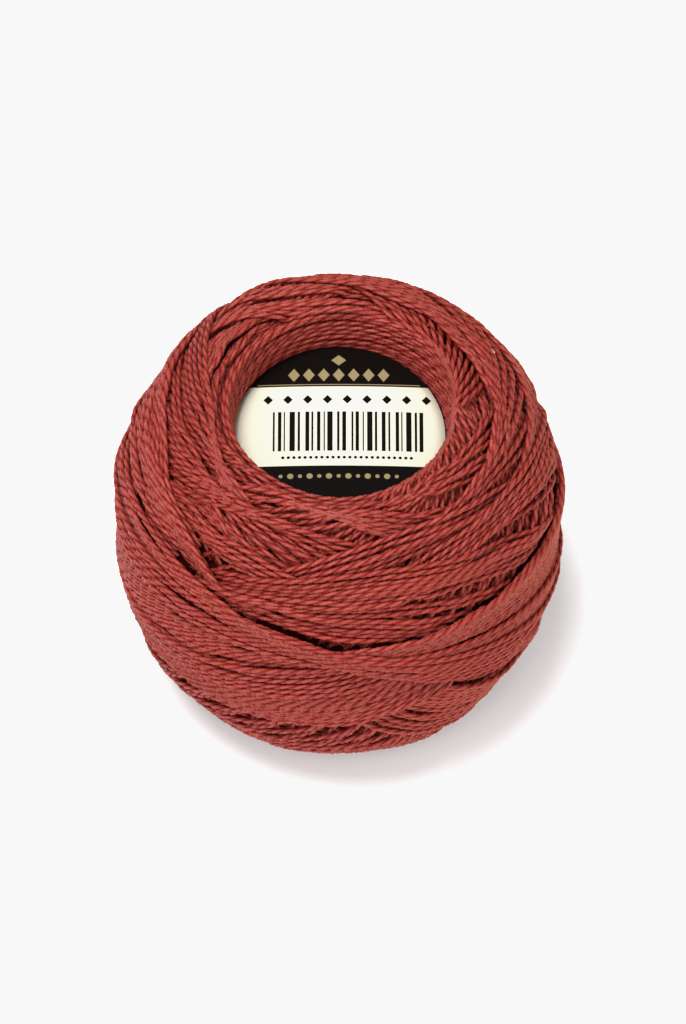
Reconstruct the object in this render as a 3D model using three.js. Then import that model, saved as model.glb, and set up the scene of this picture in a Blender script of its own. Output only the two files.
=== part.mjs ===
// A ball of size 8 pearl cotton, wound as a thick ring with a round card label seated in its mouth.
// Millimetres, +Z up. The ball stands on a small flat ring at z = 0, centred on the Z axis.
import * as THREE from 'three';

// Driving dimensions of the ball
const SIDE_RADIUS = 21.2; // widest radius of the plain ring, at mid height
const SIDE_RISE = 24.6; // half height of the ellipse that the flanks follow
const SHOULDER_ANGLE = 35; // degrees above level where the flank hands over to the shoulder arc
const CROWN_RADIUS = 11.4; // radius of the highest circle of the ring
const HOLE_RADIUS = 10.05; // radius of the hole through the middle
const REST_PRESS = 0.25; // how far the ball's own weight has flattened its lowest ring

// Driving dimensions of the label
const LABEL_DEPTH = 5.0; // from the crown down to the label's face
const LABEL_THICKNESS = 0.6; // pasteboard
const LABEL_GAP = 0.32; // clearance to the wound wall
const LABEL_BOW = 0.4; // how far the label's left and right ends hang below its middle

// Mesh counts
const AZIMUTH_STEPS = 84;
const FLANK_STEPS = 26;
const SHOULDER_STEPS = 7;
const LIP_STEPS = 3;
const WALL_STEPS = 5;
const LABEL_RINGS = 3;
const LABEL_STEPS = 32;

// Flat-topped bands of parallel turns that stand proud of the turns below. Each band lies along the
// plane through the ball's middle that is tipped by `tilt` about the level direction `node`.
const windingBands = [
  { tilt: 53, node: 4, width: 5.0, lift: 0.3 },
  { tilt: 50, node: 120, width: 4.5, lift: 0.3 },
  { tilt: 50, node: 235, width: 4.0, lift: 0.35 },
  { tilt: 46, node: 300, width: 4.5, lift: 0.3 },
  { tilt: 40, node: 85, width: 4.5, lift: 0.55 },
  { tilt: 38, node: 200, width: 4.0, lift: 0.3 },
  { tilt: 33, node: 5, width: 4.5, lift: 0.35 },
  { tilt: 30, node: 160, width: 4.5, lift: 0.35 },
  { tilt: 24, node: 290, width: 5.0, lift: 0.35 },
  { tilt: 20, node: 140, width: 8.0, lift: 0.5 },
  { tilt: 12, node: 60, width: 6.0, lift: 0.3 },
];

// Level grooves where one pass of winding stops against the next; each follows a circle about the axis
// at this radius and height above the ball's middle, and is repeated below it.
const passGrooves = [
  { radius: 12.0, height: 18.1, width: 0.8, depth: 0.4 },
  { radius: 15.6, height: 16.4, width: 0.7, depth: 0.3 },
  { radius: 19.0, height: 11.8, width: 0.8, depth: 0.3 },
];

const radians = THREE.MathUtils.degToRad;

// Half of the ring's section above mid height, as flank, shoulder, lip and wall, each a list of
// (radius, height) points that share their end points.
function upperSection() {
  const angle = radians(SHOULDER_ANGLE);
  const flankEnd = Math.atan2(SIDE_RISE * Math.sin(angle), SIDE_RADIUS * Math.cos(angle));
  const joinRadius = SIDE_RADIUS * Math.cos(flankEnd);
  const joinHeight = SIDE_RISE * Math.sin(flankEnd);
  const shoulderRound = (joinRadius - CROWN_RADIUS) / Math.cos(angle);
  const crownHeight = joinHeight + shoulderRound * (1 - Math.sin(angle));
  const lipRound = CROWN_RADIUS - HOLE_RADIUS;

  const flank = new THREE.EllipseCurve(0, 0, SIDE_RADIUS, SIDE_RISE, 0, flankEnd);
  const shoulder = new THREE.EllipseCurve(
    CROWN_RADIUS, crownHeight - shoulderRound, shoulderRound, shoulderRound, angle, Math.PI / 2);
  const lip = new THREE.EllipseCurve(
    CROWN_RADIUS, crownHeight - lipRound, lipRound, lipRound, Math.PI / 2, Math.PI);
  const wall = new THREE.LineCurve(
    new THREE.Vector2(HOLE_RADIUS, crownHeight - lipRound), new THREE.Vector2(HOLE_RADIUS, 0));
  return {
    crownHeight,
    points: [
      ...flank.getSpacedPoints(FLANK_STEPS / 2),
      ...shoulder.getSpacedPoints(SHOULDER_STEPS).slice(1),
      ...lip.getSpacedPoints(LIP_STEPS).slice(1),
      ...wall.getSpacedPoints(WALL_STEPS).slice(1, -1),
    ],
  };
}

// The whole closed section, from mid height up over the crown, down the wall and back outside.
function closedSection(points) {
  const mirrored = points.slice(1).reverse().map((point) => new THREE.Vector2(point.x, -point.y));
  return [...points, ...mirrored];
}

// 1 inside `width`, falling smoothly to 0 over `fade` on either side.
function plateau(distance, width, fade) {
  return 1 - THREE.MathUtils.smoothstep(Math.abs(distance), width / 2 - fade, width / 2 + fade);
}

// How far the winding stands out from the plain ring at a point, before it is kept off wall and rest.
function windingRelief(point) {
  const BAND_FADE = 0.6;
  let relief = 0;
  for (const band of windingBands) {
    const tilt = radians(band.tilt);
    const node = radians(band.node);
    const normal = new THREE.Vector3(
      Math.sin(tilt) * Math.sin(node), -Math.sin(tilt) * Math.cos(node), Math.cos(tilt));
    relief = Math.max(relief, band.lift * plateau(point.dot(normal), band.width, BAND_FADE));
  }
  const radius = Math.hypot(point.x, point.y);
  for (const groove of passGrooves) {
    const away = Math.hypot(radius - groove.radius, Math.abs(point.z) - groove.height);
    relief -= groove.depth * Math.exp(-((away / groove.width) ** 2));
  }
  return relief;
}

// Closed surface from rings of points: ring i joins ring i + 1, and the last ring joins the first.
function closedTube(rings) {
  const columns = rings[0].length;
  const positions = rings.flat().flatMap((point) => [point.x, point.y, point.z]);
  const faces = [];
  for (let i = 0; i < rings.length; i += 1) {
    const next = (i + 1) % rings.length;
    for (let j = 0; j < columns; j += 1) {
      const right = (j + 1) % columns;
      const [a, b] = [i * columns + j, i * columns + right];
      const [c, d] = [next * columns + right, next * columns + j];
      faces.push(a, b, c, a, c, d);
    }
  }
  const geometry = new THREE.BufferGeometry();
  geometry.setAttribute('position', new THREE.Float32BufferAttribute(positions, 3));
  geometry.setIndex(faces);
  geometry.computeVertexNormals();
  return geometry;
}

function woundBall() {
  const { points, crownHeight } = upperSection();
  const section = closedSection(points);
  const floor = -crownHeight + REST_PRESS;
  const rings = section.map((place, i) => {
    const before = section[(i + section.length - 1) % section.length];
    const after = section[(i + 1) % section.length];
    const outward = new THREE.Vector2(after.y - before.y, before.x - after.x).normalize();
    const onWall = place.x < HOLE_RADIUS + 0.01;
    const nearRest = THREE.MathUtils.smoothstep(place.y, floor, floor + 2);
    const share = onWall ? 0 : nearRest;
    return Array.from({ length: AZIMUTH_STEPS }, (_, j) => {
      const azimuth = (2 * Math.PI * j) / AZIMUTH_STEPS;
      const plain = new THREE.Vector3(
        place.x * Math.cos(azimuth), place.x * Math.sin(azimuth), place.y);
      const lift = share * windingRelief(plain);
      const radius = place.x + lift * outward.x;
      const height = Math.max(place.y + lift * outward.y, floor) - floor;
      return new THREE.Vector3(radius * Math.cos(azimuth), radius * Math.sin(azimuth), height);
    });
  });
  return { geometry: closedTube(rings), crown: crownHeight - floor };
}

// A round card whose left and right ends hang a little below its middle.
function bowedCard(radius, thickness, bow) {
  const circles = [];
  for (const [level, order] of [[0, 1], [-thickness, -1]]) {
    const radii = Array.from({ length: LABEL_RINGS }, (_, i) => (radius * (i + 1)) / LABEL_RINGS);
    for (const r of order > 0 ? radii : radii.reverse()) circles.push({ r, level });
  }
  const bowAt = (x) => -bow * (x / radius) ** 2;
  const positions = [0, 0, 0];
  for (const { r, level } of circles) {
    for (let j = 0; j < LABEL_STEPS; j += 1) {
      const azimuth = (2 * Math.PI * j) / LABEL_STEPS;
      const x = r * Math.cos(azimuth);
      positions.push(x, r * Math.sin(azimuth), level + bowAt(x));
    }
  }
  positions.push(0, 0, -thickness);
  const last = positions.length / 3 - 1;
  const vertex = (circle, j) => 1 + circle * LABEL_STEPS + (j % LABEL_STEPS);
  const faces = [];
  for (let j = 0; j < LABEL_STEPS; j += 1) {
    faces.push(0, vertex(0, j), vertex(0, j + 1));
    for (let circle = 0; circle + 1 < circles.length; circle += 1) {
      const [a, b] = [vertex(circle, j), vertex(circle, j + 1)];
      const [c, d] = [vertex(circle + 1, j + 1), vertex(circle + 1, j)];
      faces.push(a, d, c, a, c, b);
    }
    faces.push(last, vertex(circles.length - 1, j + 1), vertex(circles.length - 1, j));
  }
  const geometry = new THREE.BufferGeometry();
  geometry.setAttribute('position', new THREE.Float32BufferAttribute(positions, 3));
  geometry.setIndex(faces);
  geometry.computeVertexNormals();
  return geometry;
}

const cotton = new THREE.MeshStandardMaterial({ color: 0xa8403c, roughness: 0.55, metalness: 0 });
const card = new THREE.MeshStandardMaterial({ color: 0xf3efdf, roughness: 0.35, metalness: 0 });

const part = new THREE.Group();
const ball = woundBall();
const wound = new THREE.Mesh(ball.geometry, cotton);
wound.name = 'wound_ball';
part.add(wound);

const label = new THREE.Mesh(bowedCard(HOLE_RADIUS - LABEL_GAP, LABEL_THICKNESS, LABEL_BOW), card);
label.name = 'label';
label.position.z = ball.crown - LABEL_DEPTH;
part.add(label);

export default part;
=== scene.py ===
"""A ball of pearl cotton: its turns are laid one by one, as a winder lays them, and swept as thread.

The winding is worked out in millimetres about the middle of the ball, with +Z along the hole's axis.
Every mesh is made in metres, in the frame of the CAD model.
"""
from math import cos, pi, radians, sin, sqrt, tan

import bpy
import numpy as np
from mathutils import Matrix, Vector


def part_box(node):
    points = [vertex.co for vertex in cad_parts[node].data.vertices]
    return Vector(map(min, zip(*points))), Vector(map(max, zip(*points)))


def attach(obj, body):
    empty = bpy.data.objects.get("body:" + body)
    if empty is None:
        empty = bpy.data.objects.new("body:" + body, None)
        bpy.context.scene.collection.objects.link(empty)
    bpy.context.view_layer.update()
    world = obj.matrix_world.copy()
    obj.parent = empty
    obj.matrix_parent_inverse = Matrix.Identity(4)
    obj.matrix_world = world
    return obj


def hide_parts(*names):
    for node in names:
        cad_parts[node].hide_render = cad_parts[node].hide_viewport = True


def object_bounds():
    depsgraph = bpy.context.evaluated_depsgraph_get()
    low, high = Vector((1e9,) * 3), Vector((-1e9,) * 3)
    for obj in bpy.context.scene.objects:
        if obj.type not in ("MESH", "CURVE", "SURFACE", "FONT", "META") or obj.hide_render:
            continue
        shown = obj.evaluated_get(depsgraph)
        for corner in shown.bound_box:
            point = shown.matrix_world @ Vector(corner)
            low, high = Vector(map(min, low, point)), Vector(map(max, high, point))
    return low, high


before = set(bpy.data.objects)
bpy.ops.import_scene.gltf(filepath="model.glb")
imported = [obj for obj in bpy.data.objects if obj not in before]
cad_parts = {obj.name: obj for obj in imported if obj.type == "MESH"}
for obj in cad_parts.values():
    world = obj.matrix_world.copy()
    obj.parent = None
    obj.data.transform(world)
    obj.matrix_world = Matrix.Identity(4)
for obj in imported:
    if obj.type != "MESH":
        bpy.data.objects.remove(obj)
cad_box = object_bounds()

MM = 0.001

# Section of the wound ring, the same driving sizes as the CAD solid
SIDE_RADIUS = 21.2
SIDE_RISE = 24.6
SHOULDER_ANGLE = 35.0
CROWN_RADIUS = 11.4
HOLE_RADIUS = 10.05
REST_PRESS = 0.25

# Thread: size 8, two plies
THREAD_RADIUS = 0.275
TWIST_LENGTH = 2.9
RINGS_PER_TWIST = 7

# Grid that the winding is laid on: columns round the axis, cells along the section
COLUMNS = 960
CELL = 0.14

# A turn covers at most this many cells to each side of its middle
FOOTPRINT_CELLS = 6

# Height of the bare former over the plain form, before the first turn
FORMER_HEIGHT = -0.3

# A turn slides sideways by up to this many cells, decided for a group of columns at a time. It feels
# the surface this many cells further out, and pays for sliding and for each change in how far it slides.
SLIP_CELLS = 3
SLIP_GROUP = 4
SLIP_FEEL = 4
SLIP_FRICTION = 0.04
SLIP_TENSION = 0.7

# Where one turn lies on another, this share of its half thickness is left, and it bears on what lies
# under this share of its width
STACKING = 0.9
BEARING = 0.95

# Passes of the flyer that form the ball. The plane of each turn is tipped by `tilt` about the level
# direction `node`, and both step evenly from the first turn of the pass to the last. Degrees.
FORMING_PASSES = (
    # tilt from, tilt to, node from, node to, turns
    (33.0, 29.0, 290, 650, 100),
    (58.0, 56.0, 0, 360, 60),
    (54.0, 50.5, 40, 400, 120),
    (25.0, 12.0, 285, 645, 60),
    (48.0, 44.0, 200, 560, 120),
    (41.0, 37.0, 100, 460, 120),
    (58.5, 56.5, 180, 540, 60),
    (53.5, 51.0, 20, 380, 130),
    (45.0, 41.0, 0, 360, 100),
    (33.0, 29.0, 290, 650, 100),
    (20.0, 25.0, 0, 360, 70),
)

# Hollows that the last turns bridge, so that dark gaps stay between them. A negative depth is a rise.
HOLLOWS = (
    # azimuth, latitude, half width round the axis, half width along the section (degrees), depth
    # between the spread turns under the fan
    (302, 49.0, 18, 2.6, 1.5),
    (265, 48.5, 16, 1.8, 1.3),
    # the open rungs on the right
    (330, 33.0, 11, 3.6, 1.7),
    (287, 30.5, 11, 2.6, 1.6),
    (308, 25.5, 12, 2.8, 1.6),
    # the raised band on the left, then the gaps beside and below it
    (196, 34.5, 28, 5.5, -0.7),
    (214, 40.5, 6, 1.8, 1.3),
    (229, 34.5, 9, 3.0, 1.5),
    (250, 22.5, 14, 1.8, 0.9),
    (275, 19.0, 16, 1.8, 0.9),
    # the far side
    (90, 53.4, 35, 0.9, 0.8),
)

# The last turns, which show as separate bands
LAST_BANDS = (
    # tilt from, tilt to, node from, node to, turns, how far the band may stand proud
    # low on the ball
    (29.5, 24.0, 345, 335, 6, 0.2),
    (20.0, 14.0, 333, 320, 5, 0.2),
    (30.0, 14.0, 232, 244, 11, 0.3),
    # the far side
    (55.0, 56.0, 76, 30, 10, 0.3),
    (48.5, 52.5, 4, 2, 4, 0.3),
    (56.4, 61.5, 2, -2, 7, 0.3),
    # round the mouth: spread turns, the fan over them on the right, then the left
    (63.0, 63.0, 302, 232, 15, 0.3),
    (55.0, 55.4, 235, 200, 6, 0.3),
    (53.0, 55.8, 190, 158, 8, 0.3),
    (52.6, 56.8, 127, 96, 9, 0.3),
    (47.5, 42.8, 107, 136, 7, 0.3),
    (49.5, 50.4, 104, 160, 9, 0.3),
    # from the far side round the right, then open rungs that show between the later bands
    (53.5, 53.0, 332, 300, 8, 0.3),
    (51.4, 46.6, 296, 220, 9, 0.3),
    (36.5, 37.2, 322, 205, 13, 0.3),
    # the smile and the turns that spread from it to the right
    (48.0, 42.3, 205, 206, 6, 0.3),
    (41.4, 36.4, 226, 222, 5, 0.3),
    (42.4, 38.4, 137, 128, 5, 0.3),
    (40.2, 34.6, 188, 190.5, 6, 0.3),
    (33.6, 32.6, 184.5, 183, 2, 0.3),
    # the raised band on the left
    (44.5, 28.0, 85, 112, 16, 0.9),
    # the front
    (30.5, 29.5, 174, 174, 2, 0.3),
    (28.8, 24.8, 162.5, 155, 5, 0.3),
    # the low turns, from the right round to the left
    (14.0, 13.0, 318, 258, 18, 0.2),
    (13.0, 17.0, 258, 226, 11, 0.2),
    (17.5, 16.5, 226, 163, 16, 0.2),
    (14.8, 22.2, 158, 141, 10, 0.2),
    (22.2, 27.0, 141, 122, 7, 0.3),
)

# A turn that would climb over the lip runs along it, at about this latitude, and eases into it. Degrees.
LIP_LATITUDE = 59.0
LIP_EASE = 0.5
LIP_MARGIN = 0.2

# How much further the node of a turn strays than its tilt
NODE_STRAY = 1.6

# Heights over the plain form beyond this, and depths under it, are pressed together to these shares
PROUD_HEIGHT = 0.3
PROUD_SHARE = 0.5
PRESSED_DEPTH = 0.9
PRESSED_SHARE = 0.5

rng = np.random.default_rng(4)


# ---------------------------------------------------------------- section of the ring

def ring_section():
    """The outer section from the lower lip over the flank to the upper lip, in even cells."""
    angle = radians(SHOULDER_ANGLE)
    flank_end = np.arctan2(SIDE_RISE * sin(angle), SIDE_RADIUS * cos(angle))
    join_radius = SIDE_RADIUS * cos(flank_end)
    join_height = SIDE_RISE * sin(flank_end)
    shoulder = (join_radius - CROWN_RADIUS) / cos(angle)
    shoulder_middle = join_height - shoulder * sin(angle)
    crown = shoulder_middle + shoulder
    lip = CROWN_RADIUS - HOLE_RADIUS
    flank_turn = np.linspace(0, flank_end, 400)
    shoulder_turn = np.linspace(angle, pi / 2, 200)[1:]
    lip_turn = np.linspace(pi / 2, radians(125), 40)[1:]
    flank_line = np.c_[SIDE_RADIUS * np.cos(flank_turn), SIDE_RISE * np.sin(flank_turn)]
    shoulder_line = shoulder * np.c_[np.cos(shoulder_turn), np.sin(shoulder_turn)]
    lip_line = lip * np.c_[np.cos(lip_turn), np.sin(lip_turn)]
    upper = np.concatenate([
        flank_line,
        shoulder_line + [CROWN_RADIUS, shoulder_middle],
        lip_line + [CROWN_RADIUS, crown - lip],
    ])
    line = np.concatenate([upper[:0:-1] * [1, -1], upper])
    along = np.gradient(line, axis=0)
    normal = np.c_[along[:, 1], -along[:, 0]]
    normal /= np.linalg.norm(normal, axis=1, keepdims=True)
    run = np.concatenate([[0], np.cumsum(np.linalg.norm(np.diff(line, axis=0), axis=1))])
    places = np.arange(0, run[-1], CELL)
    columns = [np.interp(places, run, values) for values in (*line.T, *normal.T)]
    return crown, *columns


CROWN_HEIGHT, SEC_R, SEC_Z, SEC_NR, SEC_NZ = ring_section()
SEC_LATITUDE = np.degrees(np.arctan2(SEC_Z, SEC_R))
CELLS = len(SEC_R)
CELL_INDEX = np.arange(CELLS)
COLUMN_INDEX = np.arange(COLUMNS)
AZIMUTH = 2 * pi * COLUMN_INDEX / COLUMNS
FLOOR = REST_PRESS - CROWN_HEIGHT


def on_section(values, cells):
    """Values of a section column at fractional cells."""
    return np.interp(cells, CELL_INDEX, values)


def to_cells(latitude):
    """Fractional cells of the section at these latitudes, short of the inner lips where it turns back."""
    low, high = SEC_LATITUDE.argmin(), SEC_LATITUDE.argmax()
    limit = SEC_LATITUDE[high] - LIP_MARGIN
    held = np.clip(latitude, -limit, limit)
    return np.interp(held, SEC_LATITUDE[low:high + 1], CELL_INDEX[low:high + 1])


def smoothed(field, cells):
    """The field blurred by a bell this wide in cells, closed round the axis and mirrored at the lips."""
    reach = int(3 * cells) + 1
    bell = np.exp(-0.5 * (np.arange(-reach, reach + 1) / cells) ** 2)
    bell /= bell.sum()

    def spectrum(length):
        return np.fft.rfft(np.roll(np.pad(bell, (0, length - len(bell))), -reach))

    round_axis = np.fft.irfft(np.fft.rfft(field, axis=0) * spectrum(COLUMNS)[:, None], n=COLUMNS, axis=0)
    padded = np.pad(round_axis, ((0, 0), (reach, reach)), mode="reflect")
    width = padded.shape[1]
    along_section = np.fft.irfft(np.fft.rfft(padded, axis=1) * spectrum(width)[None], n=width, axis=1)
    return along_section[:, reach:-reach]


def lowest_near(field, reach=3):
    """The lowest value within this many columns and cells of each place."""
    for axis in (0, 1):
        field = np.minimum.reduce([np.roll(field, k, axis) for k in range(-reach, reach + 1)])
    return field


# ---------------------------------------------------------------- winding

# A height below everything, and a cost above everything
NOTHING = -9.0
NEVER = 1000.0

# A step in the wound surface higher than this is a wall, in which the turns beneath show too
CLIFF = 0.9

# A turn is pulled straight over spans of these many columns to each side, one after another
SPANS = (20, 10, 5, 2, 1, 8, 3, 1)

# Least cosines that are allowed for: of a turn's slope, and of the section's lean from straight outwards
LEAST_SLANT = 0.3
LEAST_LEAN = 0.6

# Widths in cells over which the winding is pressed back to its form: as it grows, after a forming pass,
# when it is formed, and after each of the last bands
SETTLE_WIDTH = 30
PASS_WIDTH = 16
FORMED_WIDTH = 10
BAND_WIDTH = 22

# Turns of a forming pass between two settlings
SETTLE_EVERY = 12


class Winding:
    """Height of the wound surface over the plain section, as turn after turn is laid on it."""

    def __init__(self):
        self.top = np.full((COLUMNS, CELLS), FORMER_HEIGHT)
        self.sunk = np.zeros((COLUMNS, CELLS))
        self.hollow = np.zeros((COLUMNS, CELLS))
        self.turns = []

    def sink(self, depth):
        """Press the surface and all that is under it down by a depth at each cell."""
        self.top -= depth
        self.sunk += depth

    def settle(self, width=SETTLE_WIDTH):
        """Press the winding back to the plain form and its hollows; what is narrower than `width` stays."""
        self.sink(smoothed(self.top + self.hollow, width))

    def hollow_out(self, azimuth, latitude, azimuth_width, latitude_width, depth):
        """Press a dent into the surface, which every later settling keeps."""
        away = (np.degrees(AZIMUTH) - azimuth + 180) % 360 - 180
        round_axis = np.exp(-(away / azimuth_width) ** 2)
        along_section = np.exp(-((SEC_LATITUDE - latitude) / latitude_width) ** 2)
        dent = depth * round_axis[:, None] * along_section[None]
        self.hollow += dent
        self.sink(dent)

    def slant(self, cells):
        """How much narrower a turn is than its width along the section: the cosine of its slope."""
        slope = (np.roll(cells, -1) - np.roll(cells, 1)) * CELL / 2
        step = on_section(SEC_R, cells) * 2 * pi / COLUMNS
        return np.clip(step / np.hypot(step, slope), LEAST_SLANT, 1)

    def footprint(self, cells):
        """The cells that a turn covers: their columns, their numbers and their distance from its middle."""
        near = np.arange(-FOOTPRINT_CELLS, FOOTPRINT_CELLS + 1)
        covered = np.clip(np.rint(cells).astype(int)[:, None] + near, 0, CELLS - 1)
        rows = np.broadcast_to(COLUMN_INDEX[:, None], covered.shape)
        return rows, covered, (covered - cells[:, None]) * CELL * self.slant(cells)[:, None]

    def resting_heights(self, cells, states):
        """Where a turn would rest in each group of columns, slid sideways by each number of cells."""
        slant = self.slant(cells)
        middle = np.rint(cells).astype(int)
        reach = SLIP_CELLS + SLIP_FEEL
        near = np.clip(middle[:, None] + np.arange(-reach, reach + 1), 0, CELLS - 1)
        under = self.top[COLUMN_INDEX[:, None], near]
        rest = []
        for sideways in states:
            felt = np.arange(sideways - SLIP_FEEL, sideways + SLIP_FEEL + 1)
            away = (middle - cells)[:, None] + felt - sideways
            dome = THREAD_RADIUS ** 2 - (away * CELL * slant[:, None]) ** 2
            reached = under[:, felt + reach] + np.sqrt(np.clip(dome, 0, None))
            rest.append(np.where(dome > 0, reached, NOTHING).max(1))
        return np.array(rest).T.reshape(-1, SLIP_GROUP, len(states)).mean(1)

    def slip(self, cells):
        """Let a turn slide sideways into the furrows that run along with it, against its own tension."""
        states = np.arange(-SLIP_CELLS, SLIP_CELLS + 1)
        rest = self.resting_heights(cells, states) + SLIP_FRICTION * np.abs(states)
        change = SLIP_TENSION * (states[:, None] - states[None]) ** 2
        start = rng.integers(len(rest))
        order = (start + np.arange(len(rest))) % len(rest)

        # The cheapest way round, which starts and ends unmoved
        best = np.where(states == 0, 0.0, NEVER)
        came_by = []
        for group in order:
            total = best[None] + change
            pick = total.argmin(1)
            came_by.append(pick)
            best = total[states + SLIP_CELLS, pick] + rest[group]
        state = SLIP_CELLS
        chosen = np.zeros(len(rest))
        for group, pick in zip(order[::-1], came_by[::-1]):
            chosen[group] = states[state]
            state = pick[state]

        spread = np.repeat(chosen, SLIP_GROUP)
        for width in (SLIP_GROUP, SLIP_GROUP, SLIP_GROUP // 2):
            spread = (np.roll(spread, width) + spread + np.roll(spread, -width)) / 3
        return np.clip(cells + spread, 0, CELLS - 1)

    def taut(self, cells, support):
        """Height of a taut turn over its supports: no lower than any chord between two of its points."""
        r, z = on_section(SEC_R, cells), on_section(SEC_Z, cells)
        plain = np.hypot(r, z)
        lean = (r * on_section(SEC_NR, cells) + z * on_section(SEC_NZ, cells)) / plain
        lean = np.clip(lean, LEAST_LEAN, 1)
        inverse = 1 / (plain + support / lean)
        ray = np.c_[r * np.cos(AZIMUTH), r * np.sin(AZIMUTH), z] / plain[:, None]
        step = np.arccos(np.clip((ray * np.roll(ray, -1, 0)).sum(1), -1, 1))
        angle = np.concatenate([[0], np.cumsum(step)])
        full, angle = angle[-1], angle[:-1]
        for span in SPANS:
            before = (angle - np.roll(angle, span)) % full
            after = (np.roll(angle, -span) - angle) % full
            chord = np.roll(inverse, span) * np.sin(after) + np.roll(inverse, -span) * np.sin(before)
            inverse = np.minimum(inverse, chord / np.sin(before + after))
        return (1 / inverse - plain) * lean

    def lay(self, tilt, node, lift, cap):
        """Lay one whole turn, at most `lift` over what bears it and `cap` over the plain form."""
        latitude = np.degrees(np.arctan(tan(radians(tilt)) * np.sin(AZIMUTH - radians(node))))
        held = -LIP_EASE * np.logaddexp(-np.abs(latitude) / LIP_EASE, -LIP_LATITUDE / LIP_EASE)
        cells = self.slip(to_cells(np.sign(latitude) * held))
        rows, covered, away = self.footprint(cells)
        dome = np.sqrt(np.clip(THREAD_RADIUS ** 2 - away ** 2, 0, None))
        under = self.top[rows, covered]
        bearing = np.abs(away) < BEARING * THREAD_RADIUS
        support = np.where(bearing, under + STACKING * dome, NOTHING).max(1)
        height = np.minimum(self.taut(cells, support), support + lift)
        height = np.minimum(height, cap)
        height = sum(np.roll(height, k) for k in (-2, -1, 0, 0, 1, 2)) / 6
        under_it = np.abs(away) < THREAD_RADIUS
        np.maximum.at(self.top, (rows[under_it], covered[under_it]), (height[:, None] + dome)[under_it])
        self.turns.append((cells, height + self.sunk[COLUMN_INDEX, np.rint(cells).astype(int)]))

    def lay_pass(self, tilt_from, tilt_to, node_from, node_to, turns, stray, lift, cap, settle_every=0):
        """Lay the turns of one pass, each a little astray."""
        for i in range(turns):
            share = i / (turns - 1)
            tilt = tilt_from + (tilt_to - tilt_from) * share + stray * rng.normal()
            node = node_from + (node_to - node_from) * share + NODE_STRAY * stray * rng.normal()
            self.lay(tilt, node, lift, cap)
            if settle_every and i % settle_every == settle_every - 1:
                self.settle()

    def shown(self):
        """Every turn with its final height and the columns where it shows, then the lowest heights."""
        # Final heights, and which turn lies uppermost at each place
        top = np.full((COLUMNS, CELLS), NOTHING)
        owner = np.full((COLUMNS, CELLS), -1)
        final = []
        for number, (cells, height) in enumerate(self.turns):
            height = height - self.sunk[COLUMN_INDEX, np.rint(cells).astype(int)]
            height = height + (1 - PRESSED_SHARE) * np.clip(-PRESSED_DEPTH - height, 0, None)
            height = height - (1 - PROUD_SHARE) * np.clip(height - PROUD_HEIGHT, 0, None)
            for _ in range(2):
                height = sum(np.roll(height, k) for k in (-4, -2, 0, 2, 4)) / 5
            rows, covered, away = self.footprint(cells)
            dome = height[:, None] + np.sqrt(np.clip(THREAD_RADIUS ** 2 - away ** 2, 0, None))
            wins = (np.abs(away) < THREAD_RADIUS) & (dome > top[rows, covered])
            top[rows[wins], covered[wins]] = dome[wins]
            owner[rows[wins], covered[wins]] = number
            final.append((cells, height))
        # A turn shows where it lies uppermost, and where it is part of the wall of a step
        low = lowest_near(top)
        cliff = top - low > CLIFF
        shown = []
        for number, (cells, height) in enumerate(final):
            rows, covered, away = self.footprint(cells)
            in_wall = cliff[rows, covered] & (np.abs(away) < THREAD_RADIUS / 2)
            in_wall &= height[:, None] + THREAD_RADIUS > low[rows, covered]
            shown.append((cells, height, ((owner[rows, covered] == number) | in_wall).any(1)))
        return shown, low


# The finished ball is this much smaller than its plain form
END_SINK = 0.05

# The underside is pressed smooth below about this latitude, over a slope of about this many degrees;
# what is narrower than this many cells stays
UNDERSIDE_LATITUDE = -8
UNDERSIDE_EASE = 4
UNDERSIDE_WIDTH = 9


def wind_ball():
    """Wind the whole ball, and let it settle. Returns what Winding.shown does."""
    winding = Winding()
    for row in FORMING_PASSES:
        winding.lay_pass(*row, stray=0.25, lift=0.45, cap=0.9, settle_every=SETTLE_EVERY)
        winding.settle(PASS_WIDTH)
    winding.settle(FORMED_WIDTH)
    for row in HOLLOWS:
        winding.hollow_out(*row)
    for *row, proud in LAST_BANDS:
        winding.lay_pass(*row, stray=0.12, lift=1.6, cap=proud + 0.6)
        winding.settle(BAND_WIDTH)
    winding.settle()
    winding.sink(END_SINK)
    underside = 1 / (1 + np.exp((SEC_LATITUDE - UNDERSIDE_LATITUDE) / UNDERSIDE_EASE))
    winding.sink(smoothed(winding.top, UNDERSIDE_WIDTH) * underside)
    return winding.shown()


# ---------------------------------------------------------------- thread

# Section of two-ply thread: angle from the back of a ply, and radius as a share of the thread's
PLY_SECTION = ((-32, 1.02), (32, 1.02), (90, 0.76), (148, 1.02), (212, 1.02), (270, 0.76))
CORNERS = len(PLY_SECTION)


def add_object(name, mesh, material):
    """A new object of a mesh, all of one material."""
    mesh.materials.append(material)
    mesh.validate()
    thing = bpy.data.objects.new(name, mesh)
    bpy.context.scene.collection.objects.link(thing)
    return thing


def add_mesh(name, points, faces, material):
    """A new smooth-shaded object of these points, in metres, and faces."""
    mesh = bpy.data.meshes.new(name)
    mesh.from_pydata([tuple(p) for p in points], [], faces)
    mesh.polygons.foreach_set("use_smooth", [True] * len(mesh.polygons))
    return add_object(name, mesh, material)


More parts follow.
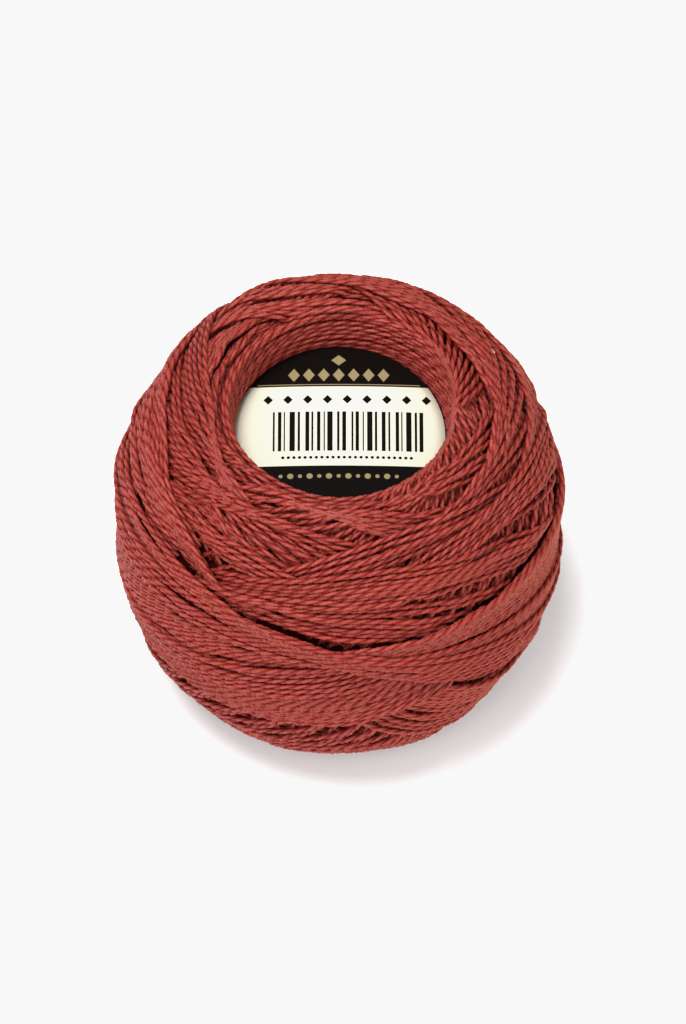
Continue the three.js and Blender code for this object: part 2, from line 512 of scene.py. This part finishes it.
class ThreadMesh:
    """Collects stretches of twisted thread into one mesh."""

    def __init__(self):
        self.points = []
        self.quads = []
        self.caps = []
        self.twists = []
        self.tones = []
        self.count = 0

    def add(self, centres, normals, start, tone):
        """One stretch along these centres; start is the length of thread before it."""
        steps = np.linalg.norm(np.diff(centres, axis=0), axis=1)
        run = np.concatenate([[0], np.cumsum(steps)])
        rings = max(3, int(run[-1] * RINGS_PER_TWIST / TWIST_LENGTH) + 1)
        places = np.linspace(0, run[-1], rings)
        centre = np.stack([np.interp(places, run, c) for c in centres.T], 1)
        normal = np.stack([np.interp(places, run, c) for c in normals.T], 1)
        along = np.gradient(centre, axis=0)
        along /= np.linalg.norm(along, axis=1, keepdims=True)
        side = np.cross(normal, along)
        side /= np.linalg.norm(side, axis=1, keepdims=True)
        normal = np.cross(along, side)
        twist = 2 * pi * (places + start) / TWIST_LENGTH
        ring_points = []
        for angle, share in PLY_SECTION:
            turn = (twist + radians(angle))[:, None]
            spoke = np.cos(turn) * normal + np.sin(turn) * side
            ring_points.append(centre + share * THREAD_RADIUS * spoke)
        self.points.append(np.stack(ring_points, 1).reshape(-1, 3))
        ring = self.count + CORNERS * np.arange(rings - 1)[:, None]
        corner = np.arange(CORNERS)[None]
        following = (corner + 1) % CORNERS
        next_ring = ring + CORNERS
        quads = np.stack([ring + corner, ring + following, next_ring + following, next_ring + corner], -1)
        self.quads.append(quads.reshape(-1, 4))
        last = self.count + CORNERS * (rings - 1)
        self.caps.append(self.count + np.arange(CORNERS)[::-1])
        self.caps.append(last + np.arange(CORNERS))
        self.twists.append(np.repeat((places + start) / TWIST_LENGTH, CORNERS))
        self.tones.append(np.full(rings * CORNERS, tone))
        self.count += rings * CORNERS

    @property
    def triangles(self):
        """How many triangles it makes, with the two flat ends of each stretch."""
        return 2 * sum(len(q) for q in self.quads) + 4 * len(self.caps)

    def build(self, name, material):
        """The object of all the stretches, with each corner's place on the thread and each turn's tone."""
        points = np.concatenate(self.points) * MM
        points[:, 2] -= FLOOR * MM
        quads = np.concatenate(self.quads)
        caps = np.array(self.caps)
        loops = np.concatenate([quads.ravel(), caps.ravel()])
        cap_starts = 4 * len(quads) + CORNERS * np.arange(len(caps))
        starts = np.concatenate([4 * np.arange(len(quads)), cap_starts])
        mesh = bpy.data.meshes.new(name)
        mesh.vertices.add(len(points))
        mesh.vertices.foreach_set("co", points.ravel())
        mesh.loops.add(len(loops))
        mesh.loops.foreach_set("vertex_index", loops)
        mesh.polygons.add(len(starts))
        mesh.polygons.foreach_set("loop_start", starts)
        mesh.polygons.foreach_set("use_smooth", np.ones(len(starts), bool))
        mesh.update(calc_edges=True)
        layer = mesh.uv_layers.new(name="thread")
        layer.data.foreach_set("uv", self.thread_places(quads, loops).ravel())
        tone = mesh.attributes.new("tone", "FLOAT", "POINT")
        tone.data.foreach_set("value", np.concatenate(self.tones))
        return add_object(name, mesh, material)

    def thread_places(self, quads, loops):
        """Place on the thread of each face corner: twists along it, and share of a turn round it."""
        along = np.concatenate(self.twists)[loops]
        round_it = np.array([angle for angle, _ in PLY_SECTION])[loops % CORNERS] / 360
        # The last quad of a ring closes it, so its first corner comes a whole turn later there
        closes = np.tile(np.repeat(np.arange(CORNERS) == CORNERS - 1, 4), len(quads) // CORNERS)
        closes &= quads.ravel() % CORNERS == 0
        round_it[:len(closes)][closes] = 1 + PLY_SECTION[0][0] / 360
        return np.c_[along, round_it]


# A stretch goes this many columns on under its neighbours
TUCK = 5

# Triangles after which a new piece is started
PIECE_LIMIT = 185_000


def stretches(showing):
    """Runs of columns where a turn shows, lengthened by TUCK. A single column on its own is dropped."""
    wide = showing.copy()
    for k in range(1, TUCK + 1):
        wide |= np.roll(showing, k) | np.roll(showing, -k)
    if wide.all():
        return [np.arange(COLUMNS + 1)]
    first = int(np.argmin(wide))
    rolled = np.roll(wide, -first)
    edges = np.diff(np.concatenate([[0], rolled.astype(int), [0]]))
    begins, ends = np.where(edges == 1)[0], np.where(edges == -1)[0]
    return [np.arange(a, b) + first for a, b in zip(begins, ends) if b - a > 2 * TUCK + 1]


def place_turns(turns):
    """Centres, normals and running length of every turn that shows."""
    for cells, height, showing in turns:
        if not showing.any():
            continue
        nr, nz = on_section(SEC_NR, cells), on_section(SEC_NZ, cells)
        r = on_section(SEC_R, cells) + height * nr
        z = np.maximum(on_section(SEC_Z, cells) + height * nz, FLOOR + THREAD_RADIUS)
        centres = np.c_[r * np.cos(AZIMUTH), r * np.sin(AZIMUTH), z]
        normals = np.c_[nr * np.cos(AZIMUTH), nr * np.sin(AZIMUTH), nz]
        steps = np.linalg.norm(np.roll(centres, -1, 0) - centres, axis=1)
        yield centres, normals, np.concatenate([[0], np.cumsum(steps)]), showing


def outer_threads(turns, material):
    """The turns that show, in pieces of about equal size."""
    batches = [ThreadMesh()]
    for centres, normals, run, showing in place_turns(turns):
        tone = rng.random()
        phase = TWIST_LENGTH * rng.random()
        for columns in stretches(showing):
            wrapped = columns % COLUMNS
            start = phase + run[wrapped[0]] + (run[-1] if columns[0] >= COLUMNS else 0)
            if batches[-1].triangles > PIECE_LIMIT:
                batches.append(ThreadMesh())
            batches[-1].add(centres[wrapped], normals[wrapped], start, tone)
    return [batch.build(f"outer_turns_{i + 1}", material) for i, batch in enumerate(batches)]


# ---------------------------------------------------------------- wall of the mouth

LABEL_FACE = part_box("label")[1].z / MM + FLOOR

# Turns on the wall of the hole: the topmost, the step between two, and how far each may tip
WALL_TOP = 17.45
WALL_STEP = 0.57
WALL_TIP = 0.2

# The wall widens by this share of the height over the label, and its mouth sits this far to one side
WALL_RADIUS = 10.02
WALL_FLARE = 0.14
WALL_OFFSET = 0.25

# Turns in each layer of the wall, from the front one back; None is all of them
WALL_LAYERS = (None, None, 5)
LAYER_STEP = 0.42

# The wall goes on this far below the label's face. It is drawn back by the clearance round the card's
# edge, from this height over the label's face down, and eases into that over a further height.
WALL_BELOW = 1.2
CARD_CLEARANCE = 0.3
CLEAR_HEIGHT = 0.5
CLEAR_EASE = 0.3

# How much a turn on the wall waves up and down, and in and out, and the points round it
WALL_WAVE = 0.08
WALL_SWELL = 0.05
WALL_POINTS = 241


def wall_threads(material):
    """Layers of nearly level turns on the wall of the hole, from the lip down past the label."""
    batch = ThreadMesh()
    azimuth = np.linspace(0, 2 * pi, WALL_POINTS)
    levels = np.arange(WALL_TOP, LABEL_FACE - WALL_BELOW, -WALL_STEP)
    for layer, turns in enumerate(WALL_LAYERS):
        for level in levels[:turns] - layer * WALL_STEP / 2:
            tip, turn = WALL_TIP * rng.random(), 2 * pi * rng.random()
            over_label = np.clip((level - LABEL_FACE - CLEAR_HEIGHT) / CLEAR_EASE, 0, 1)
            height = level + tip * np.sin(azimuth - turn) + WALL_WAVE * np.sin(3 * azimuth + 5 * turn)
            radius = WALL_RADIUS + LAYER_STEP * layer + WALL_FLARE * max(0, level - LABEL_FACE)
            radius = radius + CARD_CLEARANCE * (1 - over_label) + WALL_SWELL * np.sin(5 * azimuth + turn)
            x = radius * np.cos(azimuth) + WALL_OFFSET * over_label
            centres = np.c_[x, radius * np.sin(azimuth), height]
            normals = -np.c_[np.cos(azimuth), np.sin(azimuth), 0 * azimuth]
            batch.add(centres, normals, 10 * rng.random(), rng.random())
    return batch.build("mouth_turns", material)


# ---------------------------------------------------------------- body under the threads

# The body keeps this far below the lowest turns within a few cells, and between these two heights. It is
# smoothed over a few cells more.
CORE_CLEARANCE = 0.62
CORE_REACH = 4
CORE_LOWEST = -2.2
CORE_HIGHEST = -0.35
CORE_SMOOTHING = 3

# It stands back this far from the wall of the hole, and takes every eighth column and cell
CORE_WALL = 1.3
CORE_STEP = 8
CORE_WALL_STEPS = 10


def core_body(low, material):
    """A closed ring just under the outer turns, so that no light passes between them, coloured near black
    as painted shade of the deep winding.
    """
    level = np.clip(lowest_near(low, CORE_REACH) - CORE_CLEARANCE, CORE_LOWEST, CORE_HIGHEST)
    level = smoothed(level, CORE_SMOOTHING)
    picked = np.where(SEC_R + CORE_LOWEST * SEC_NR > HOLE_RADIUS + CORE_WALL)[0][::CORE_STEP]
    azimuth = AZIMUTH[::CORE_STEP]
    level = level[::CORE_STEP, picked].T
    radius = SEC_R[picked, None] + level * SEC_NR[picked, None]
    height = np.maximum(SEC_Z[picked, None] + level * SEC_NZ[picked, None], FLOOR + 2 * THREAD_RADIUS)
    share = np.linspace(0, 1, CORE_WALL_STEPS)[1:-1, None]
    wall_height = height[-1:] + share * (height[:1] - height[-1:])
    radius = np.concatenate([radius, np.full(wall_height.shape, HOLE_RADIUS + CORE_WALL)])
    height = np.concatenate([height, wall_height]) - FLOOR
    points = np.stack([radius * np.cos(azimuth), radius * np.sin(azimuth), height], -1).reshape(-1, 3) * MM
    rows, columns = radius.shape
    faces = []
    for i in range(rows):
        here, there = i * columns, (i + 1) % rows * columns
        for j in range(columns):
            right = (j + 1) % columns
            faces.append((here + j, here + right, there + right, there + j))
    return add_mesh("inner_winding_painted_shade", points, faces, material)


# ---------------------------------------------------------------- label

# The card, and how far the print stands over it
LABEL_RADIUS = 9.95
LABEL_THICKNESS = 0.6
LABEL_BOW = 0.4
INK_LIFT = 0.02

# Longest straight step of a bar, so that it follows the bow of the label
BAR_STEP = 0.6


def label_level(x):
    """Height of the label's face, whose left and right ends hang a little."""
    return LABEL_FACE - LABEL_BOW * (x / LABEL_RADIUS) ** 2


def label_card(material):
    """A disc whose face and back are rings of points round a middle point, joined at the rim."""
    rings, steps = 10, 72
    outwards = [LABEL_RADIUS * (i + 1) / rings for i in range(rings)]
    inwards = [LABEL_RADIUS * (rings - i) / rings for i in range(rings)]
    points = [(0, 0, label_level(0))]
    for radii, rise in ((outwards, 0), (inwards, -LABEL_THICKNESS)):
        for radius in radii:
            for j in range(steps):
                x, y = radius * cos(2 * pi * j / steps), radius * sin(2 * pi * j / steps)
                points.append((x, y, label_level(x) + rise))
    points.append((0, 0, label_level(0) - LABEL_THICKNESS))
    faces = []
    last = len(points) - 1
    last_ring = 1 + (2 * rings - 1) * steps
    for j in range(steps):
        following = (j + 1) % steps
        faces.append((0, 1 + j, 1 + following))
        for ring in range(2 * rings - 1):
            a, b = 1 + ring * steps, 1 + (ring + 1) * steps
            faces.append((a + j, b + j, b + following, a + following))
        faces.append((last, last_ring + following, last_ring + j))
    points = (np.array(points) - [0, 0, FLOOR]) * MM
    return add_mesh("label_card", points, faces, material)


class Print:
    """Collects printed areas that lie just over the label's face."""

    def __init__(self, lift):
        """Lift is how far the print stands over the face."""
        self.lift = lift
        self.points = []
        self.faces = []

    def area(self, left, right, lower, upper, steps):
        """The area between two curves y = lower(x) and y = upper(x)."""
        first = len(self.points)
        for x in np.linspace(left, right, steps + 1):
            for y in (lower(x), upper(x)):
                self.points.append((x, y, label_level(x) + self.lift))
        for i in range(steps):
            a = first + 2 * i
            self.faces.append((a, a + 2, a + 3, a + 1))

    def bar(self, left, right, low, high):
        """An upright rectangle."""
        steps = max(1, int((right - left) / BAR_STEP))
        self.area(left, right, lambda x: low, lambda x: high, steps)

    def lozenge(self, x0, y0, width, height):
        """A lozenge about its middle."""
        half = width / 2

        def rise(x):
            return height / 2 * (1 - abs(x - x0) / half)

        self.area(x0 - half, x0 + half, lambda x: y0 - rise(x), lambda x: y0 + rise(x), 2)

    def dot(self, x0, y0, radius):
        """A round dot about its middle."""
        def rise(x):
            return sqrt(max(0, radius ** 2 - (x - x0) ** 2))

        self.area(x0 - radius, x0 + radius, lambda x: y0 - rise(x), lambda x: y0 + rise(x), 12)

    def build(self, name, material):
        """The object of all the areas."""
        points = (np.array(self.points) - [0, 0, FLOOR]) * MM
        return add_mesh(name, points, self.faces, material)


# Lower edge of the dark zone at the top, and upper edge of the one at the bottom
UPPER_ZONE = 5.4
LOWER_ZONE = -3.7

# The row of bars between them, which codes nothing: its two ends, its foot and top, then widths and gaps
# that are taken in turn
BARS_LEFT = -6.15
BARS_RIGHT = 9.0
BARS_FOOT = -2.0
BARS_TOP = 2.5
BAR_WIDTHS = (0.18, 0.32, 0.12, 0.5, 0.22, 0.36)
BAR_GAPS = (0.3, 0.22, 0.42, 0.26, 0.5, 0.2, 0.34)

# The gilt rule under the upper zone's ornament: half length, and edges above the zone's own
RULE_REACH = 7.6
RULE_FOOT = 0.15
RULE_TOP = 0.24


def rim(x):
    """Upper half of the label's outline."""
    return sqrt(max(0, LABEL_RADIUS ** 2 - x ** 2))


def spaced(count, first, step):
    """Middles of a row of marks."""
    return [first + step * i for i in range(count)]


def dark_prints(material):
    """The two dark zones, the bars, and the lozenges and dots over and under them."""
    dark = Print(INK_LIFT)
    dark.area(-rim(UPPER_ZONE), rim(UPPER_ZONE), lambda x: UPPER_ZONE, rim, 48)
    dark.area(-rim(LOWER_ZONE), rim(LOWER_ZONE), lambda x: -rim(x), lambda x: LOWER_ZONE, 48)
    x = BARS_LEFT
    for width, gap in zip(BAR_WIDTHS * 4, BAR_GAPS * 4):
        if x + width > BARS_RIGHT:
            break
        dark.bar(x, x + width, BARS_FOOT, BARS_TOP)
        x += width + gap
    for x in spaced(9, -6.6, 1.85):
        dark.lozenge(x, 3.9, 0.9, 1.0)
    for x in spaced(24, -5.2, 0.52):
        dark.dot(x, -2.75, 0.16)
    return dark.build("label_ink", material)


def gilt_prints(material):
    """The rule and the lozenges of the upper zone, and the dots of the lower one."""
    gilt = Print(2 * INK_LIFT)
    gilt.bar(-RULE_REACH, RULE_REACH, UPPER_ZONE + RULE_FOOT, UPPER_ZONE + RULE_TOP)
    for x in spaced(7, -4.2, 1.4):
        gilt.lozenge(x, 6.7, 1.1, 1.5)
    gilt.lozenge(0, 8.4, 1.4, 1.2)
    for i, x in enumerate(spaced(13, -5.4, 0.9)):
        gilt.dot(x, -4.9, 0.3 if i % 2 else 0.2)
    return gilt.build("label_gilt", material)


# ---------------------------------------------------------------- materials

class Nodes:
    """A new material, with short ways to add, set and join its nodes."""

    def __init__(self, name):
        self.material = bpy.data.materials.new(name)
        self.material.use_nodes = True
        self.tree = self.material.node_tree
        self.shader = self.tree.nodes["Principled BSDF"]

    def add(self, kind, inputs=(), **settings):
        """A node with these settings, and with these values on its inputs."""
        node = self.tree.nodes.new(kind)
        for key, value in settings.items():
            setattr(node, key, value)
        put(node, dict(inputs))
        return node

    def join(self, output, entry):
        """A link from an output to an input."""
        self.tree.links.new(output, entry)

    def colour(self, output):
        """Take the surface's colour from an output."""
        self.join(output, self.shader.inputs["Base Color"])

    def mix(self, share, first, second):
        """Colour between two colours, each given as a colour or a socket."""
        node = self.add("ShaderNodeMix", data_type="RGBA")
        self.join(share, node.inputs["Factor"])
        for socket, value in zip((node.inputs[6], node.inputs[7]), (first, second)):
            if isinstance(value, tuple):
                socket.default_value = (*value, 1)
            else:
                self.join(value, socket)
        return node.outputs[2]

    def math(self, operation, *values):
        """Result of one operation on numbers and sockets."""
        node = self.add("ShaderNodeMath", operation=operation)
        for socket, value in zip(node.inputs, values):
            if isinstance(value, (int, float)):
                socket.default_value = value
            else:
                self.join(value, socket)
        return node.outputs[0]

    def speckle(self, scale, low, high):
        """Noise of this scale, from one colour to the other."""
        noise = self.add("ShaderNodeTexNoise", {"Scale": scale})
        ramp = self.add("ShaderNodeValToRGB")
        ramp.color_ramp.elements[0].color = (*low, 1)
        ramp.color_ramp.elements[1].color = (*high, 1)
        self.join(noise.outputs["Fac"], ramp.inputs["Fac"])
        return ramp.outputs["Color"]


def put(node, inputs):
    """Set inputs of a node to plain values."""
    for name, value in inputs.items():
        node.inputs[name].default_value = value


# Two tones of the thread that the backs of the plies vary between, and the painted shade in the furrow
# between two plies, where the plies shade each other
PLY_SHADES = ((0.245, 0.032, 0.025), (0.325, 0.055, 0.043))
FURROW_PAINTED_SHADE = (0.150, 0.011, 0.007)

# Share of a ply's shade that goes by the turn; the rest goes by the fibre
TURN_SHARE = 0.45

# Fibres to a twist along the thread, and round it
FIBRE_ALONG = 1.6
FIBRE_ROUND = 16.0


def ply_crown_and_painted_shade(n, round_it):
    """1 on the back of a ply and 0 in the furrow, from the share of a turn round the thread: the ply's
    relief, which also places the painted shade.
    """
    ridge = n.math("ABSOLUTE", n.math("COSINE", n.math("MULTIPLY", round_it, 2 * pi)))
    crown_and_painted_shade = n.add("ShaderNodeMapRange", {"From Min": 0.1, "From Max": 0.85}, interpolation_type="SMOOTHSTEP")
    n.join(ridge, crown_and_painted_shade.inputs["Value"])
    return crown_and_painted_shade.outputs["Result"]


def ply_fibre(n, along, round_it):
    """Noise drawn out along the plies."""
    lay = n.add("ShaderNodeCombineXYZ")
    n.join(n.math("MULTIPLY", along, FIBRE_ALONG), lay.inputs["X"])
    n.join(n.math("MULTIPLY", round_it, FIBRE_ROUND), lay.inputs["Y"])
    fibres = n.add("ShaderNodeTexNoise", {"Scale": 1.0, "Detail": 2.0})
    n.join(lay.outputs[0], fibres.inputs["Vector"])
    return fibres.outputs["Fac"]


def cotton_material():
    """Silky mercerised plies, with painted shade that darkens them to deep red in the furrow between them.
    """
    n = Nodes("pearl_cotton")
    place = n.add("ShaderNodeUVMap", uv_map="thread")
    split = n.add("ShaderNodeSeparateXYZ")
    n.join(place.outputs[0], split.inputs[0])
    crown_and_painted_shade = ply_crown_and_painted_shade(n, split.outputs["Y"])
    fibre = ply_fibre(n, split.outputs["X"], split.outputs["Y"])

    tone = n.add("ShaderNodeAttribute", attribute_name="tone").outputs["Fac"]
    tint = n.math("ADD", n.math("MULTIPLY", tone, TURN_SHARE), n.math("MULTIPLY", fibre, 1 - TURN_SHARE))
    # Painted shade: the colour darkens from the ply's tone to deep red in the furrow between the plies
    n.colour(n.mix(crown_and_painted_shade, FURROW_PAINTED_SHADE, n.mix(tint, *PLY_SHADES)))
    put(n.shader, {
        "Specular Tint": (1.0, 0.78, 0.72, 1),
        "Roughness": 0.46,
        "Subsurface Weight": 0.4,
        "Subsurface Radius": (1.0, 0.25, 0.15),
        "Subsurface Scale": 0.0004,
    })
    # The reflection is weakened in the furrow too, along with the painted shade
    n.join(n.math("MULTIPLY", crown_and_painted_shade, 0.24), n.shader.inputs["Specular IOR Level"])
    bump = n.add("ShaderNodeBump", {"Strength": 0.6, "Distance": 0.00006})
    n.join(n.math("ADD", crown_and_painted_shade, n.math("MULTIPLY", fibre, 0.8)), bump.inputs["Height"])
    n.join(bump.outputs["Normal"], n.shader.inputs["Normal"])
    return n.material


def speckled_material(name, scale, low, high, roughness, gloss):
    """An even surface with a faint speckle, for the card, its prints and the body under the threads, whose
    near black is painted shade.
    """
    n = Nodes(name)
    put(n.shader, {"Roughness": roughness, "Specular IOR Level": gloss})
    n.colour(n.speckle(scale, low, high))
    return n.material


# ---------------------------------------------------------------- stage

# The camera looks down at this angle, and its frame is this high at the ball. It aims a little off the
# middle of the CAD box.
ELEVATION = 55.0
LENS = 250.0
SENSOR = 36.0
FRAME_HEIGHT = 97.0
AIM_RIGHT = 0.4
AIM_UP = 0.1

# Even light of a studio dome, then the lamps
SKY = 0.55
LAMPS = (
    # name, strength, azimuth, elevation, softness (degrees)
    ("key", 3.2, 198.0, 78.0, 25.0),
    ("front_fill", 2.05, 252.0, 36.0, 60.0),
    ("side_fill", 0.6, 335.0, 33.0, 60.0),
)

# The brightest tone of the picture
PAPER_WHITE = 0.94

# Half width of the floor, in metres
FLOOR_REACH = 2.0


def stage():
    """Floor, even sky and lamps, with plain tones."""
    add_floor()
    world = bpy.data.worlds.new("studio")
    bpy.context.scene.world = world
    world.use_nodes = True
    put(world.node_tree.nodes["Background"], {"Color": (1, 1, 1, 1), "Strength": SKY})
    for lamp in LAMPS:
        add_lamp(*lamp)
    hold_white(bpy.context.scene.view_settings)


def add_floor():
    """A wide pale matt floor, which isn't part of the ball."""
    n = Nodes("pale_floor")
    put(n.shader, {"Base Color": (0.9, 0.9, 0.9, 1), "Roughness": 0.9, "Specular IOR Level": 0.0})
    corners = [(x * FLOOR_REACH, y * FLOOR_REACH, 0) for x, y in ((-1, -1), (1, -1), (1, 1), (-1, 1))]
    add_mesh("floor", corners, [(0, 1, 2, 3)], n.material)


def add_lamp(name, strength, azimuth, elevation, softness):
    """A far lamp, as wide as its softness, that shines on the ball from this direction."""
    light = bpy.data.lights.new(name, "SUN")
    light.energy = strength
    light.angle = radians(softness)
    thing = bpy.data.objects.new(name, light)
    azimuth, elevation = radians(azimuth), radians(elevation)
    towards = Vector((cos(azimuth) * cos(elevation), sin(azimuth) * cos(elevation), sin(elevation)))
    thing.rotation_euler = (-towards).to_track_quat("-Z", "Y").to_euler()
    bpy.context.scene.collection.objects.link(thing)


def hold_white(view):
    """Plain tones, with everything over the paper's white held at it, as a studio backdrop is."""
    view.view_transform = "Standard"
    view.use_curve_mapping = True
    curve = view.curve_mapping.curves[3]
    curve.points[1].location = (PAPER_WHITE, PAPER_WHITE)
    curve.points.new(1.0, PAPER_WHITE)
    for point in curve.points:
        point.handle_type = "VECTOR"
    view.curve_mapping.extend = "HORIZONTAL"
    view.curve_mapping.update()


def camera():
    """A long lens that looks down on the ball from the front."""
    low, high = cad_box
    middle = Vector((0, 0, (low.z + high.z) / 2))
    elevation = radians(ELEVATION)
    towards = Vector((0, -cos(elevation), sin(elevation)))
    up = Vector((0, sin(elevation), cos(elevation)))
    aim = middle + Vector((AIM_RIGHT * MM, 0, 0)) + up * AIM_UP * MM
    distance = FRAME_HEIGHT * MM * LENS / SENSOR
    data = bpy.data.cameras.new("camera")
    data.lens = LENS
    data.sensor_width = SENSOR
    data.clip_end = 20
    data.clip_start = 0.01
    thing = bpy.data.objects.new("camera", data)
    thing.location = aim + towards * distance
    thing.rotation_euler = (-towards).to_track_quat("-Z", "Y").to_euler()
    bpy.context.scene.collection.objects.link(thing)
    bpy.context.scene.camera = thing


# ---------------------------------------------------------------- the ball

camera()
stage()

cotton = cotton_material()
# Near-black speckle on the body under the threads: painted shade of the winding deep between the turns
core_painted_shade = speckled_material("inner_painted_shade", 700, (0.010, 0.0012, 0.0012), (0.040, 0.005, 0.004), 0.9, 0.0)
turns, low = wind_ball()
for piece in (*outer_threads(turns, cotton), wall_threads(cotton), core_body(low, core_painted_shade)):
    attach(piece, "root")
    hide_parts("wound_ball")

card = speckled_material("label_card", 1500, (0.63, 0.60, 0.47), (0.67, 0.64, 0.51), 0.3, 0.5)
ink = speckled_material("label_ink", 1500, (0.002, 0.0012, 0.0009), (0.004, 0.0025, 0.002), 0.45, 0.05)
gilt = speckled_material("label_gilt", 1500, (0.20, 0.155, 0.07), (0.26, 0.205, 0.095), 0.35, 0.5)
for piece in (label_card(card), dark_prints(ink), gilt_prints(gilt)):
    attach(piece, "root")
    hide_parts("label")
